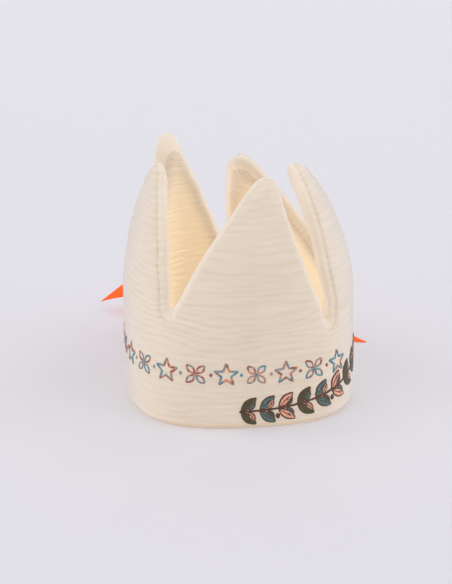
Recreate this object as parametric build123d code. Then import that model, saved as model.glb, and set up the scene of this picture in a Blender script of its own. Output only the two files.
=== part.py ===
"""Birthday crown: a padded ring of cream muslin with five points, tied behind with satin ribbon.

The crown stands on its lower edge. The origin is on its axis at the floor, +Z is up, and the front
point faces -Y. Angles run from the front towards +X, so the open back of the ring is at 180 degrees.
"""
import os
from math import atan2, cos, degrees, radians, sin

from build123d import *

# Ring and wall, in millimetres
outer_radius = 82.0
wall_thickness = 11.0
cloth_thickness = 1.2
seam_depth = 2.4
shoulder_height = 80.0
back_gap = 6.0

# Points: the length of each above the shoulder, along the wall, to its apex before rounding
front_point_length = 93.5
right_point_length = 103.5
back_right_point_length = 108.0
back_left_point_length = 103.0
left_point_length = 98.5
front_point_angle = 84.0
tip_round_radius = 9.0
valley_round_radius = 3.0
valley_slope_angle = 40.0

# How far each valley lies below the shoulder before rounding. The two ends meet at the shoulder.
front_left_valley_drop = 12.0
front_right_valley_drop = 26.0
right_valley_drop = 13.0
left_valley_drop = 13.0

# Each point bends inward by an angle of its own, and its apex is turned round the ring
front_bend_angle = 29.93
right_bend_angle = 59.9
back_right_bend_angle = 72.37
back_left_bend_angle = 4.63
left_bend_angle = 29.39
front_apex_turn = 10.0
right_apex_turn = -2.0
back_right_apex_turn = 22.0
back_left_apex_turn = 2.5
left_apex_turn = 1.5

# Tie ribbons
ribbon_width = 25.0
ribbon_thickness = 0.6
ribbon_centre_height = 40.0
lead_length = 25.0
seam_clearance = 0.1
lead_bend_radius = 1.6
knot_width = 16.0
knot_depth = 12.0
knot_height = 18.0
bow_loop_length = 50.0
bow_loop_opening = 16.0
left_tail_length = 120.0
left_tail_angle = 230.0
left_tail_roll = 35.0
left_tip_lift = 8.0
right_tail_length = 115.0
right_tail_angle = 80.0
right_tail_roll = 10.0
right_tip_lift = 0.8
tail_cut_angle = 38.0

# Embroidery on the front of the band
thread_height = 0.6
leaf_length = 12.5
leaf_width = 5.4
leaf_spread_angle = 40.0
leaf_gap = 0.4
sprig_start_angle = -6.0
sprig_end_angle = 74.0
sprig_low_height = 13.0
sprig_rise = 25.0
stem_width = 1.4
berry_radius = 1.8
border_start_angle = -96.0
border_end_angle = 44.0
border_pitch = 20.0
border_height = 39.0
star_radius = 8.0
petal_length = 7.0
petal_width = 3.8
dot_radius = 1.2

# Reach of a cutting shape past the face it cuts, and how near the bent wall comes to the axis
overrun = 12.0
axis_clearance = 1.0

# Shares and counts, chosen by hand
star_waist_share = 0.42
# Along a bow's loop: shares of its length and of its opening
loop_shares = ((0.0, -0.1), (0.45, -0.45), (0.95, -0.5), (1.0, 0.0), (0.95, 0.5), (0.45, 0.45), (0.0, 0.1))
# Along a tail: shares of its length, of its fall, of its turn upright and of its width
tail_shares = ((0.0, 0.0, 1.0, 0.6), (0.3, 0.12, 0.7, 1.0), (0.65, 0.55, 0.25, 1.0), (1.0, 1.0, 0.0, 1.0))
sprig_leaf_count = 9
sprig_colours = ("green", "teal", "pink")

inner_radius = outer_radius - wall_thickness
mid_radius = outer_radius - wall_thickness / 2
side_point_angle = (360.0 - front_point_angle) / 4
half_gap_angle = degrees(back_gap / 2 / mid_radius)


def polar(radius, angle, height):
    """A point at a distance from the axis, an angle from the front and a height."""
    turn = radians(angle)
    return Vector(radius * sin(turn), -radius * cos(turn), height)


def radial(angle):
    """The unit direction that points away from the axis."""
    return polar(1, angle, 0)


def tangent(angle):
    """The unit direction that runs round the ring, towards larger angles."""
    return Vector(cos(radians(angle)), sin(radians(angle)), 0)


def turned(shape, angle):
    """A shape swept from +X, turned to start at an angle from the front."""
    return Rot(0, 0, angle - 90) * shape


def fused(shapes):
    """One shape from several that meet."""
    whole = shapes[0]
    for shape in shapes[1:]:
        whole = whole + shape
    return whole


def nearest_edge(shape, spot):
    """The edge whose middle is nearest to a spot."""
    return min(shape.edges(), key=lambda edge: (edge.center() - spot).length)


class Insets:
    """The wall's two radii and the depth of its edges, moved in from those of the whole crown."""

    def __init__(self, inner=0, outer=0, edge=0):
        self.near = inner_radius + inner
        self.far = outer_radius - outer
        self.edge = edge


def valley_line(angle):
    """The direction along the bottom of a notch, outward and down."""
    slope = radians(valley_slope_angle)
    return radial(angle) * cos(slope) - Vector(0, 0, sin(slope))


class Valley:
    """The lowest spot of a notch between two points."""

    def __init__(self, angle, level):
        self.angle = angle
        self.spot = polar(mid_radius, angle, level)


class Point:
    """One point of the crown, between two angles."""

    def __init__(self, start, end, length, bend_angle, apex_turn):
        self.start = start
        self.end = end
        self.length = length
        bend = radians(bend_angle)
        self.bend_radius = length / bend
        lean = self.bend_radius * (1 - cos(bend))
        rise = self.bend_radius * sin(bend)
        self.apex = polar(mid_radius - lean, (start + end) / 2 + apex_turn, shoulder_height + rise)

    def wall(self, insets):
        """The uncut wall above the shoulder, bent inward and stopped short of the ring's axis."""
        bend_centre = (mid_radius - self.bend_radius, shoulder_height)
        bend_angle = degrees((self.length + overrun) / self.bend_radius)
        far_arc = CenterArc(bend_centre, insets.far - bend_centre[0], 0, bend_angle)
        near_arc = CenterArc(bend_centre, insets.near - bend_centre[0], 0, bend_angle)
        foot = Line(near_arc @ 0, far_arc @ 0)
        cap = Line(far_arc @ 1, near_arc @ 1)
        clear_side = Rectangle(2 * outer_radius, 4 * self.length, align=(Align.MIN, Align.CENTER))
        clear_side = Pos(axis_clearance, shoulder_height) * clear_side
        section = Plane.XZ * (make_face([foot, far_arc, cap, near_arc]) & clear_side)
        return turned(revolve(section, Axis.Z, self.end - self.start), self.start)

    def end_plane(self, angle):
        """The plane from an open end's outer corner up to the apex, facing out of the point."""
        corner = polar(outer_radius, angle, shoulder_height)
        line = valley_line(angle)
        middle = polar(mid_radius, (self.start + self.end) / 2, shoulder_height)
        normal = line.cross(self.apex - corner).normalized()
        if normal.dot(middle - corner) > 0:
            normal = normal * -1
        return Plane(corner, x_dir=line, z_dir=normal)


def crown_layout():
    """The four valleys and the five points, round the ring from the open back."""
    half_front = front_point_angle / 2
    valleys = [
        Valley(180.0 + side_point_angle, shoulder_height - left_valley_drop),
        Valley(360.0 - half_front, shoulder_height - front_left_valley_drop),
        Valley(360.0 + half_front, shoulder_height - front_right_valley_drop),
        Valley(360.0 + half_front + side_point_angle, shoulder_height - right_valley_drop),
    ]
    bounds = [180.0 + half_gap_angle] + [valley.angle for valley in valleys] + [540.0 - half_gap_angle]
    lengths = [back_left_point_length, left_point_length, front_point_length]
    lengths += [right_point_length, back_right_point_length]
    bends = [back_left_bend_angle, left_bend_angle, front_bend_angle]
    bends += [right_bend_angle, back_right_bend_angle]
    turns = [back_left_apex_turn, left_apex_turn, front_apex_turn]
    turns += [right_apex_turn, back_right_apex_turn]
    points = [Point(*row) for row in zip(bounds[:-1], bounds[1:], lengths, bends, turns)]
    return valleys, points


def notch(valley, before, after, grow):
    """A prism along a valley that clears the space between two points, grown all round."""
    section_plane = Plane(valley.spot, x_dir=tangent(valley.angle), z_dir=valley_line(valley.angle))
    sides = []
    for point in (before, after):
        apex = section_plane.to_local_coords(point.apex)
        sides.append(atan2(apex.Y, apex.X))
    half_angle = (sides[0] - sides[1]) / 2
    middle = (sides[0] + sides[1]) / 2
    bottom = Vector(-cos(middle), -sin(middle)) * (grow / sin(half_angle))
    reach = before.length + after.length
    corners = [bottom] + [bottom + Vector(cos(side), sin(side)) * reach for side in sides]
    outline = make_face(Polyline(*corners, close=True))
    lowest = outline.vertices().sort_by_distance(bottom)[0]
    outline = fillet(lowest, valley_round_radius + grow)
    inward_reach = mid_radius + reach / 4
    return extrude(section_plane.offset(overrun) * outline, -(overrun + inward_reach))


def crown_body(insets):
    """The padded ring with its five points, with every face moved in by the insets."""
    valleys, points = crown_layout()
    notches = [notch(v, a, b, insets.edge) for v, a, b in zip(valleys, points, points[1:])]
    edge_angle = degrees(insets.edge / mid_radius)
    band_start = points[0].start + edge_angle
    band_end = points[-1].end - edge_angle
    corners = [(insets.near, insets.edge), (insets.far, insets.edge)]
    corners += [(insets.far, shoulder_height), (insets.near, shoulder_height)]
    section = Plane.XZ * make_face(Polyline(*corners, close=True))
    band = turned(revolve(section, Axis.Z, band_end - band_start), band_start)
    for cutter in notches:
        band = band - cutter
    walls = []
    for number, point in enumerate(points):
        wall = point.wall(insets)
        for cutter in notches[max(number - 1, 0) : number + 1]:
            wall = wall - cutter
        walls.append(wall)
    first_end = points[0].end_plane(points[0].start).offset(-insets.edge)
    last_end = points[-1].end_plane(points[-1].end).offset(-insets.edge)
    walls[0] = split(walls[0], bisect_by=first_end, keep=Keep.BOTTOM)
    walls[-1] = split(walls[-1], bisect_by=last_end, keep=Keep.BOTTOM)
    body = fused([band] + walls)
    for point in points:
        body = fillet(nearest_edge(body, point.apex), tip_round_radius - insets.edge)
    return body


def crown_cloth():
    """The outer panel, the lining that rolls over every edge, and the filling between them."""
    whole = crown_body(Insets())
    filling = crown_body(Insets(cloth_thickness, cloth_thickness, cloth_thickness))
    lining_side = crown_body(Insets(outer=seam_depth))
    outer_panel = whole - lining_side - filling
    lining_panel = lining_side - filling
    return {"outer_panel": outer_panel, "lining_panel": lining_panel, "fleece_filling": filling}


def band_plane(angle, height):
    """A plane just outside the band, facing outward, with its y axis up."""
    return Plane(polar(outer_radius + overrun, angle, height), x_dir=tangent(angle), z_dir=radial(angle))


def stitched(outline, angle, height):
    """A motif of raised thread on the band, from its flat outline."""
    shell = Cylinder(outer_radius + thread_height, 2 * shoulder_height)
    shell = shell - Cylinder(outer_radius, 2 * shoulder_height)
    return extrude(band_plane(angle, height) * outline, -2 * overrun) & shell


def leaf(length, width):
    """An almond outline along +X from the origin."""
    upper = ThreePointArc((0, 0), (length / 2, width / 2), (length, 0))
    lower = ThreePointArc((length, 0), (length / 2, -width / 2), (0, 0))
    return make_face([upper, lower])


def star(radius):
    """A five-pointed star, one point up."""
    corners = []
    for number in range(10):
        reach = radius if number % 2 == 0 else radius * star_waist_share
        turn = radians(90 + 36 * number)
        corners.append((reach * cos(turn), reach * sin(turn)))
    return make_face(Polyline(*corners, close=True))


def flower():
    """Four petals round an open middle."""
    petals = []
    for number in range(4):
        petals.append(Rot(0, 0, 45 + 90 * number) * Pos(dot_radius, 0) * leaf(petal_length, petal_width))
    return petals


def sprig_place(share):
    """Angle, height and direction of the sprig's stem at a share of its length."""
    angle = sprig_start_angle + share * (sprig_end_angle - sprig_start_angle)
    height = sprig_low_height + sprig_rise * share ** 2
    run = radians(sprig_end_angle - sprig_start_angle) * outer_radius
    return angle, height, degrees(atan2(2 * sprig_rise * share, run))


def sprig():
    """Stem, leaves in pairs and berries, by thread colour."""
    threads = {"brown": [], "green": [], "teal": [], "pink": []}
    run = radians(sprig_end_angle - sprig_start_angle) * outer_radius
    stitch_length = run / sprig_leaf_count
    for number in range(sprig_leaf_count):
        angle, height, slope = sprig_place(number / sprig_leaf_count)
        stitch = Rot(0, 0, slope) * leaf(stitch_length, stem_width)
        threads["brown"].append(stitched(stitch, angle, height))
        colour = sprig_colours[number % len(sprig_colours)]
        for side in (1, -1):
            lean = Rot(0, 0, slope + side * leaf_spread_angle)
            blade = lean * Pos(stem_width + leaf_gap, 0) * leaf(leaf_length, leaf_width)
            threads[colour].append(stitched(blade, angle, height))
        berry = Rot(0, 0, slope - 90) * Pos(leaf_width, 0) * Circle(berry_radius)
        if colour == "pink":
            threads["brown"].append(stitched(berry, angle, height))
    return threads


def border():
    """A row of stars and flowers with dots between them."""
    pitch_angle = degrees(border_pitch / outer_radius)
    count = int((border_end_angle - border_start_angle) / pitch_angle)
    motifs = []
    for number in range(count + 1):
        angle = border_start_angle + number * pitch_angle
        shapes = [star(star_radius)] if number % 2 == 0 else flower()
        for shape in shapes:
            motifs.append(stitched(shape, angle, border_height))
        if number < count:
            motifs.append(stitched(Circle(dot_radius), angle + pitch_angle / 2, border_height))
    return motifs


class Tail:
    """The free end of a ribbon: its length, direction, height at the tip and roll at the tip."""

    def __init__(self, length, angle, tip_lift, roll):
        self.length = length
        self.angle = angle
        self.tip_lift = tip_lift
        self.roll = roll


def strip(path):
    """A thin flat face along a path, one ribbon thick."""
    return trace(path, ribbon_thickness)


def ribbon_lead(side, knot_place):
    """The stretch from the end seam, out through the back gap, to the knot."""
    corners = [
        (side * (back_gap / 2 - seam_clearance), mid_radius),
        (side * ribbon_thickness, mid_radius),
        (side * ribbon_thickness, knot_place),
    ]
    return strip(FilletPolyline(*corners, radius=lead_bend_radius))


def ribbon_loop(side, knot_place):
    """The loop of the bow, from the knot and back to it."""
    corners = []
    for reach, depth in loop_shares:
        corners.append((side * reach * bow_loop_length, knot_place + depth * bow_loop_opening))
    return strip(FilletPolyline(*corners, radius=bow_loop_opening / 4))


def ribbon_tail(side, knot_place, tail):
    """The tail that leaves the knot upright, turns over and droops, with its end cut on a slant."""
    end_drop = ribbon_width / 2 * sin(radians(tail.roll))
    fall = ribbon_centre_height - tail.tip_lift - end_drop
    spots = []
    for reach, drop, upright, width in tail_shares:
        level = ribbon_centre_height - drop * fall
        spots.append(Vector(0, knot_place, level) + radial(tail.angle) * (reach * tail.length))
    sections = []
    for number, (reach, drop, upright, width) in enumerate(tail_shares):
        before = spots[max(number - 1, 0)]
        after = spots[min(number + 1, len(spots) - 1)]
        along = (after - before).normalized()
        roll = radians(tail.roll + upright * (90 - tail.roll))
        rise = tangent(tail.angle).cross(along) * -1
        across = tangent(tail.angle) * cos(roll) + rise * (side * sin(roll))
        section_plane = Plane(spots[number], x_dir=across, z_dir=along)
        sections.append(section_plane * Rectangle(width * ribbon_width, ribbon_thickness))
    tip = spots[-1] - across * (side * ribbon_width / 2)
    slope = radians(90 - tail_cut_angle)
    slant = Plane(tip, z_dir=along * cos(slope) + across * (side * sin(slope)))
    return split(loft(sections), bisect_by=slant, keep=Keep.BOTTOM)


def ribbon(side, tail):
    """One tie ribbon: its lead, its half of the knot, its loop and its tail."""
    knot_place = mid_radius + lead_length
    foot = Pos(0, 0, ribbon_centre_height - ribbon_width / 2)
    lead = extrude(foot * ribbon_lead(side, knot_place), ribbon_width)
    loop = extrude(foot * ribbon_loop(side, knot_place), ribbon_width)
    knot = Pos(0, knot_place, ribbon_centre_height) * Box(knot_width, knot_depth, knot_height)
    own_side = Pos(side * tail.length, 0, 0) * Box(2 * tail.length, 4 * knot_place, 4 * shoulder_height)
    return (lead + knot + loop + ribbon_tail(side, knot_place, tail)) & own_side


def all_nodes():
    """Every piece of the crown by its name."""
    nodes = crown_cloth()
    threads = sprig()
    nodes["brown_stem_thread"] = Compound(threads["brown"])
    nodes["green_leaf_thread"] = Compound(threads["green"])
    nodes["teal_leaf_thread"] = Compound(threads["teal"])
    nodes["pink_leaf_thread"] = Compound(threads["pink"])
    nodes["border_thread"] = Compound(border())
    left_tail = Tail(left_tail_length, left_tail_angle, left_tip_lift, left_tail_roll)
    right_tail = Tail(right_tail_length, right_tail_angle, right_tip_lift, right_tail_roll)
    nodes["left_tie_ribbon"] = ribbon(-1, left_tail)
    nodes["right_tie_ribbon"] = ribbon(1, right_tail)
    return nodes


if __name__ == "__main__":
    os.makedirs("parts", exist_ok=True)
    for name, shape in all_nodes().items():
        export_step(shape, f"parts/{name}.step")
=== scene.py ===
"""Looks of a padded birthday crown of cream muslin, with embroidery and satin tie ribbons.

Lengths are in millimetres until a mesh is made. Angles run in degrees from the front, which faces -Y,
towards +X. A place on the cloth is an angle round the ring and a level, the length up along the wall.
"""
from math import cos, pi, radians, sin

import bpy
import numpy as np
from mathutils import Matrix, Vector, kdtree


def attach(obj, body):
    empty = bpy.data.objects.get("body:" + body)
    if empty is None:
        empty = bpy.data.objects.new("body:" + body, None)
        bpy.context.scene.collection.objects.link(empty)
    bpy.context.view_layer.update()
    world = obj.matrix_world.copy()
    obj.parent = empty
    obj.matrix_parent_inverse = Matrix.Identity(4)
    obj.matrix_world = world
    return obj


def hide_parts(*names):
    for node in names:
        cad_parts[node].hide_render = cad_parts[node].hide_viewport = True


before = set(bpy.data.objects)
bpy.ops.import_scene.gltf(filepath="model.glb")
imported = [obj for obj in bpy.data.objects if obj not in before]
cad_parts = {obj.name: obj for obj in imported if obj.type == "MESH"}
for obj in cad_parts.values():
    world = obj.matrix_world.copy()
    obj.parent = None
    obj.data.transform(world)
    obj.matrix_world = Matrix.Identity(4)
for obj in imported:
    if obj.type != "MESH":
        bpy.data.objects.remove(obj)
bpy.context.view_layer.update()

metres_per_mm = 0.001
tiny = 1e-9
vertical = np.array((0.0, 0.0, 1.0))

# Ring and wall, as in the part's source
outer_radius = 82.0
wall_thickness = 11.0
shoulder_height = 80.0
back_gap = 6.0
mid_radius = outer_radius - wall_thickness / 2

# Points from the back left round the front to the back right: length, inward bend and turn of the apex
point_lengths = (104.0, 98.5, 95.5, 107.5, 110.0)
bend_angles = (4.6, 29.4, 29.9, 59.9, 72.4)
apex_turns = (2.5, 1.5, 10.0, -2.0, 22.0)
front_point_angle = 84.0
side_point_angle = (360.0 - front_point_angle) / 4
half_gap_angle = np.degrees(back_gap / 2 / mid_radius)
tip_round_radius = 11.0

# Notches between the points: depth below the shoulder, slope outward and down, and round foot
valley_drops = (8.0, 8.0, 24.0, 8.0)
valley_slope_angle = 25.0
valley_round_radius = 3.0

# Faces of the cloth: how far they lie from the middle of the wall, more inward than outward
outer_offset = 4.2
inner_offset = 7.6

# Edges: how far in the seam lies, the pad's round side, and the roll of cloth beyond the seam
seam_inset = 3.2
edge_round = 7.0
roll_bulge = 4.2
groove_depth = 1.0
groove_width = 0.6
pucker_height = 0.2
pucker_pitch = 5.2
pucker_reach = 3.0
seam_smoothing_passes = 3

# The foot stays this far above the floor
floor_gap = 0.05

# Stitches of sewing thread along the seam, with shares of their length, arch and section
stitch_pitch = 2.7
stitch_length = 2.0
stitch_width = 0.45
stitch_along_shares = (-0.5, -0.25, 0.0, 0.25, 0.5)
stitch_arch_shares = (0.1, 0.8, 1.0, 0.8, 0.1)
stitch_section_shares = ((-0.5, 0.0), (-0.3, 0.8), (0.3, 0.8), (0.5, 0.0))

# Tones of the cloth, darker below zero: the stitches, painted shade in the seam groove and in the lining's
# creases, a painted highlight on the roll, painted shade under the foot, and the share of painted warm shade
# where the lining turns under the foot
stitch_tone = -0.09
groove_painted_shade_share = 0.28
lining_tone_share = 0.5
roll_painted_highlight_tone = 0.3
foot_painted_shade_tone = -0.4
foot_painted_warm_shade_share = 0.3

# The front of the ring is a little square in plan at its foot, less and less up to a height
square_power = 3.0
square_share = 0.85
square_height = 105.0

# The points are plumper near their tips
tip_plump = 3.4
tip_plump_reach = 24.0

# For each point: sway of its tip and of its middle, and how much narrower its two sides are halfway up
tip_sways = ((-3.2, 0.0, 2.6), (-1.0, 0.0, 0.0), (6.8, 0.0, 2.4), (5.2, 0.0, -3.0), (-7.0, 0.0, 9.0))
belly_sways = ((0.0, 0.0, 0.0), (2.0, 0.0, 0.0), (0.0, 0.0, 0.0), (-2.8, 0.0, 0.0), (-4.5, -0.5, -9.5))
side_trims = ((-3.0, 4.0), (0.0, -4.0), (0.0, 5.8), (-6.4, 0.0), (4.0, 0.0))

# Unevenness of the edges, with the rows of noise from one point and from one side to the next
edge_wobble = 0.7
wobble_pitch = 13.0
wobble_point_rows = 3.0
wobble_side_rows = 1.5

# Crinkle of the muslin: ridges that wander, each warp a share of the pitch with its length and height
crinkle_pitch = 4.7
crinkle_height = 0.29
crinkle_warps = ((1.7, 40.0, 15.0), (0.5, 13.0, 9.0))
ridge_power = 0.8
ridge_level_share = 0.6

# Patches where the crinkle is weak or strong, finer wrinkles, and soft lumps of the filling
patch_low_share = 0.3
patch_gain_share = 0.9
patch_length = 19.0
patch_height = 8.0
fine_pitch = 2.3
fine_height = 0.12
fine_length = 11.0
lump_height = 0.6
lump_pitch = 46.0

# Where the noise is read: the two faces far apart, and all levels above zero
face_shift = 500.0
level_shift = 300.0

# Filling between the panels: half its thickness, how far it stays in from the edge and its round side
fleece_half_thickness = 2.8
fleece_inset = 5.5
fleece_bulge = 1.2

# Sprig on the front of the band: leaves, leaflets between them, stem and berries
leaf_length = 12.5
leaf_width = 5.4
leaf_spread_angle = 40.0
leaf_gap = 1.8
leaf_vein_share = 0.72
leaflet_length = 7.0
leaflet_width = 3.4
leaflet_spread_angle = 62.0
leaflet_gap = 0.9
sprig_start_angle = -6.0
sprig_end_angle = 74.0
sprig_low_height = 13.0
sprig_rise = 25.0
sprig_leaf_count = 9
stem_width = 1.7
berry_radius = 1.8

# Border round the band: stars and flowers in turn, with dots between them
border_start_angle = -96.0
border_end_angle = 44.0
border_pitch = 20.0
border_height = 39.0
star_spikes = 5
star_radius = 8.0
star_waist_share = 0.42
petal_length = 7.0
petal_width = 3.8
petal_line_share = 0.8
dot_radius = 1.2

# Dye of the border's thread: length over which it changes, contrast, and shifts from motif to motif
dye_length = 2.2
dye_contrast = 1.5
star_dye_shift = 37.0
petal_dye_shift = 11.0
middle_dye_shift = 5.0
dot_dye_shift = 19.0

# Strands of embroidery thread: pitch, width, height over the cloth, slant and unevenness
strand_pitch = 0.45
strand_width = 0.62
strand_height = 0.55
strand_slant = 0.35
strand_lift = 0.12
line_uneven_share = 0.12
leaf_uneven_share = 0.1
outline_width = 1.35
motif_line_width = 1.7

# Shape of one strand: shares along it and of its arch, across it and of its round top
strand_along_shares = (0.0, 0.18, 0.5, 0.82, 1.0)
strand_arch_shares = (-0.3, 0.75, 1.0, 0.75, -0.3)
strand_across_shares = (-0.5, -0.27, 0.27, 0.5)
strand_top_shares = (-0.4, 1.0, 1.0, -0.4)

# Almond outline of leaves and petals, and how strands fill a leaf: from, to, lean and furthest reach
almond_power = 0.85
leaf_fill_shares = (0.04, 0.93)
leaf_lean_share = 0.1
leaf_reach_share = 0.99

# Tie ribbons, tied in a bow behind the open back
ribbon_width = 25.0
ribbon_thickness = 0.5
ribbon_centre_height = 40.0
pleat_height = 1.8
pleat_count = 2.5
low_pleat_share = 0.5

# Lead from the end seam to the knot: its distances from the middle, narrowing and pleats
lead_length = 25.0
lead_inset = 0.7
lead_spread = 3.6
lead_spread_power = 6
lead_gather_share = 0.42
lead_pleat_reach_share = 0.6
knot_place = mid_radius + lead_length

# Knot: half sizes, its gap in the middle, corners, rounded end, waist and folds
knot_half_width = 8.0
knot_half_depth = 6.0
knot_half_height = 9.0
knot_gap = 0.3
knot_corner_power = 0.8
knot_end_share = 0.38
knot_end_power = 2.6
knot_waist_share = 0.16
knot_waist_reach_share = 0.12
knot_fold_share = 0.035
knot_fold_count = 3
knot_fold_twist = 0.7

# Loop of the bow: size, gathering at the knot, flare, twist and droop
bow_loop_length = 50.0
bow_loop_opening = 16.0
loop_round_power = 0.8
loop_gather_share = 0.5
loop_gather_reach_share = 0.22
loop_pleat_reach_share = 0.42
loop_flare_share = 0.12
loop_twist = 1.5
loop_droop = 4.0

# For each tail: length, direction, height of the tip, roll at the tip and shares of its fall on the way
left_tail = (120.0, 230.0, 8.0, 35.0, (0.0, 0.12, 0.44, 1.0))
right_tail = (115.0, 80.0, 0.8, 10.0, (0.0, 0.12, 0.68, 1.0))

# For both tails: where those shares lie, the turn upright and the width there, the slanted cut and waves
tail_length_shares = (0.0, 0.3, 0.65, 1.0)
tail_upright_shares = (1.0, 0.7, 0.25, 0.0)
tail_width_shares = (0.6, 1.0, 1.0, 1.0)
tail_cut_length = 32.0
tail_wave_height = 1.6
tail_wave_count = 1.6
tail_wave_end_share = 1.2
tail_pleat_reach_share = 0.3

# Painted warm bounce light deep inside the lining: the length in from the edge and down from the tip over
# which it grows
painted_bounce_reach = 13.0
painted_bounce_fall = 68.0

# Mesh counts: rows up the band, rows up a point and columns across it, and others
cloth_counts = (62, 150, 62)
fleece_counts = (18, 44, 18)
row_ease_share = 0.5
even_column_share = 0.3
rim_steps = 10
slice_samples = 481
slice_step = 0.25
angle_tolerance = 1e-6
weld_digits = 4
stem_steps = 60
vein_steps = 12
almond_steps = 24
ribbon_columns = 27
lead_rows = 26
loop_rows = 90
tail_rows = 100
knot_rows = 73
knot_columns = 21

# Noise tables: their size and seeds
noise_size = 256
crinkle_seed = 11
lump_seed = 23
thread_seed = 37


def noise_table(seed):
    """A fixed square of even random values for smooth noise."""
    return np.random.default_rng(seed).random((noise_size, noise_size))


def smooth_noise(x, y, table):
    """Smooth values from 0 to 1 that change over a unit of x and of y."""
    x, y = np.broadcast_arrays(x, y)
    x0 = np.floor(x).astype(int)
    y0 = np.floor(y).astype(int)
    fx = smooth_step(x - x0)
    fy = smooth_step(y - y0)
    x0 = x0 % noise_size
    y0 = y0 % noise_size
    x1 = (x0 + 1) % noise_size
    y1 = (y0 + 1) % noise_size
    low = table[x0, y0] * (1 - fx) + table[x1, y0] * fx
    high = table[x0, y1] * (1 - fx) + table[x1, y1] * fx
    return low * (1 - fy) + high * fy


def swing(x, y, table):
    """Smooth values from -1 to 1."""
    return 2 * smooth_noise(x, y, table) - 1


def smooth_step(value):
    """A soft rise from 0 to 1."""
    value = np.clip(value, 0.0, 1.0)
    return value * value * (3 - 2 * value)


crinkle_table = noise_table(crinkle_seed)
lump_table = noise_table(lump_seed)


def stacked(x, y, z):
    """Places from their three coordinates."""
    return np.stack(np.broadcast_arrays(x, y, z), axis=-1)


def polar(radius, angle, height):
    """Places at a distance from the axis, an angle from the front and a height."""
    turn = np.radians(angle)
    return stacked(radius * np.sin(turn), -radius * np.cos(turn), height)


def radial(angle):
    """The direction away from the axis."""
    return polar(1.0, angle, 0.0)


def tangent(angle):
    """The direction round the ring, towards larger angles."""
    turn = np.radians(angle)
    return stacked(np.cos(turn), np.sin(turn), 0.0)


def heading(turn):
    """A flat direction at a turn in radians."""
    return np.array((np.cos(turn), np.sin(turn)))


def left_of(ahead):
    """Flat directions turned a quarter to the left."""
    return np.stack((-ahead[..., 1], ahead[..., 0]), axis=-1)


def unit(vectors):
    """Vectors scaled to length one."""
    return vectors / np.maximum(np.linalg.norm(vectors, axis=-1, keepdims=True), tiny)


def run_along(path):
    """The length along a path at each of its places."""
    steps = np.linalg.norm(np.diff(path, axis=0), axis=1)
    return np.concatenate(((0.0,), np.cumsum(steps)))


def values_at(spots, run, values):
    """Rows of values between those known along a run."""
    return np.stack([np.interp(spots, run, column) for column in values.T], axis=-1)


def settle(places):
    """Places on the ring moved out where the front of the foot spreads on the floor."""
    reach = np.hypot(places[..., 0], places[..., 1])
    beside = np.abs(places[..., 0]) / reach
    ahead = np.maximum(-places[..., 1], 0.0) / reach
    spread = (beside ** square_power + ahead ** square_power) ** (-1 / square_power) - 1
    weight = square_share * (1 - smooth_step(places[..., 2] / square_height)) * (places[..., 1] < 0)
    scale = np.ones(places.shape)
    scale[..., :2] += (spread * weight)[..., None]
    return places * scale


class Point:
    """One point of the crown, with the bend of its wall and its apex."""

    def __init__(self, start, end, length, bend_angle, apex_turn, tip_sway, belly_sway, trims):
        self.start = start
        self.end = end
        self.length = length
        self.bend_radius = length / radians(bend_angle)
        self.apex_angle = (start + end) / 2 + apex_turn
        self.top_level = shoulder_height + length
        self.apex = self.place(self.apex_angle, self.top_level, 0.0)
        self.tip_sway = np.array(tip_sway)
        self.belly_sway = np.array(belly_sway)
        self.trims = trims

    def bend(self, level):
        """How far the wall has turned inward at a level, in radians."""
        return np.maximum(level - shoulder_height, 0.0) / self.bend_radius

    def share(self, level):
        """Share of the point's length that lies below a level."""
        return np.clip((level - shoulder_height) / self.length, 0.0, 1.0)

    def place(self, angle, level, offset):
        """Places on the wall, an offset out from its middle."""
        bend = self.bend(level)
        radius = mid_radius - self.bend_radius + (self.bend_radius + offset) * np.cos(bend)
        height = np.minimum(level, shoulder_height) + (self.bend_radius + offset) * np.sin(bend)
        return polar(radius, angle, height)

    def sway(self, level):
        """How far the cloth sways aside at a level, growing towards the tip."""
        share = self.share(level)
        return (share * share)[..., None] * self.tip_sway + self.belly(level)[..., None] * self.belly_sway

    def belly(self, level):
        """A hump along the point, one halfway up and nothing at its foot and tip."""
        share = self.share(level)
        return 4 * share * (1 - share)

    def normal(self, angle, level):
        """Outward directions of the wall."""
        bend = self.bend(level)[..., None]
        return radial(angle) * np.cos(bend) + vertical * np.sin(bend)


class Valley:
    """The rounded notch between two points, a prism along a line that slopes outward and down."""

    def __init__(self, angle, level, before, after):
        slope = radians(valley_slope_angle)
        self.angle = angle
        self.spot = polar(mid_radius, angle, level)
        self.across = tangent(angle)
        self.upward = vertical * cos(slope) + radial(angle) * sin(slope)
        sides = []
        for point in (before, after):
            apex = point.apex - self.spot
            sides.append(np.arctan2(apex @ self.upward, apex @ self.across))
        half = (sides[0] - sides[1]) / 2
        middle = (sides[0] + sides[1]) / 2
        self.centre = heading(middle) * valley_round_radius / np.sin(half)
        self.along = [heading(side) for side in sides]
        self.facing = [left_of(self.along[0]), -left_of(self.along[1])]

    def facing_in_space(self, side):
        """The direction into the cloth from one side of the notch."""
        return self.across * self.facing[side][0] + self.upward * self.facing[side][1]

    def distance(self, places):
        """How far places lie from the notch, negative inside it."""
        local = places - self.spot
        flat = np.stack((local @ self.across, local @ self.upward), axis=-1) - self.centre
        result = np.linalg.norm(flat, axis=-1)
        beside = [flat @ facing for facing in self.facing]
        for side in (0, 1):
            ahead = flat @ self.along[side]
            result = np.where((beside[side] > 0) & (ahead > 0), beside[side], result)
        inside = (beside[0] <= 0) & (beside[1] <= 0)
        result = np.where(inside, np.maximum(beside[0], beside[1]), result)
        return result - valley_round_radius


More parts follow.
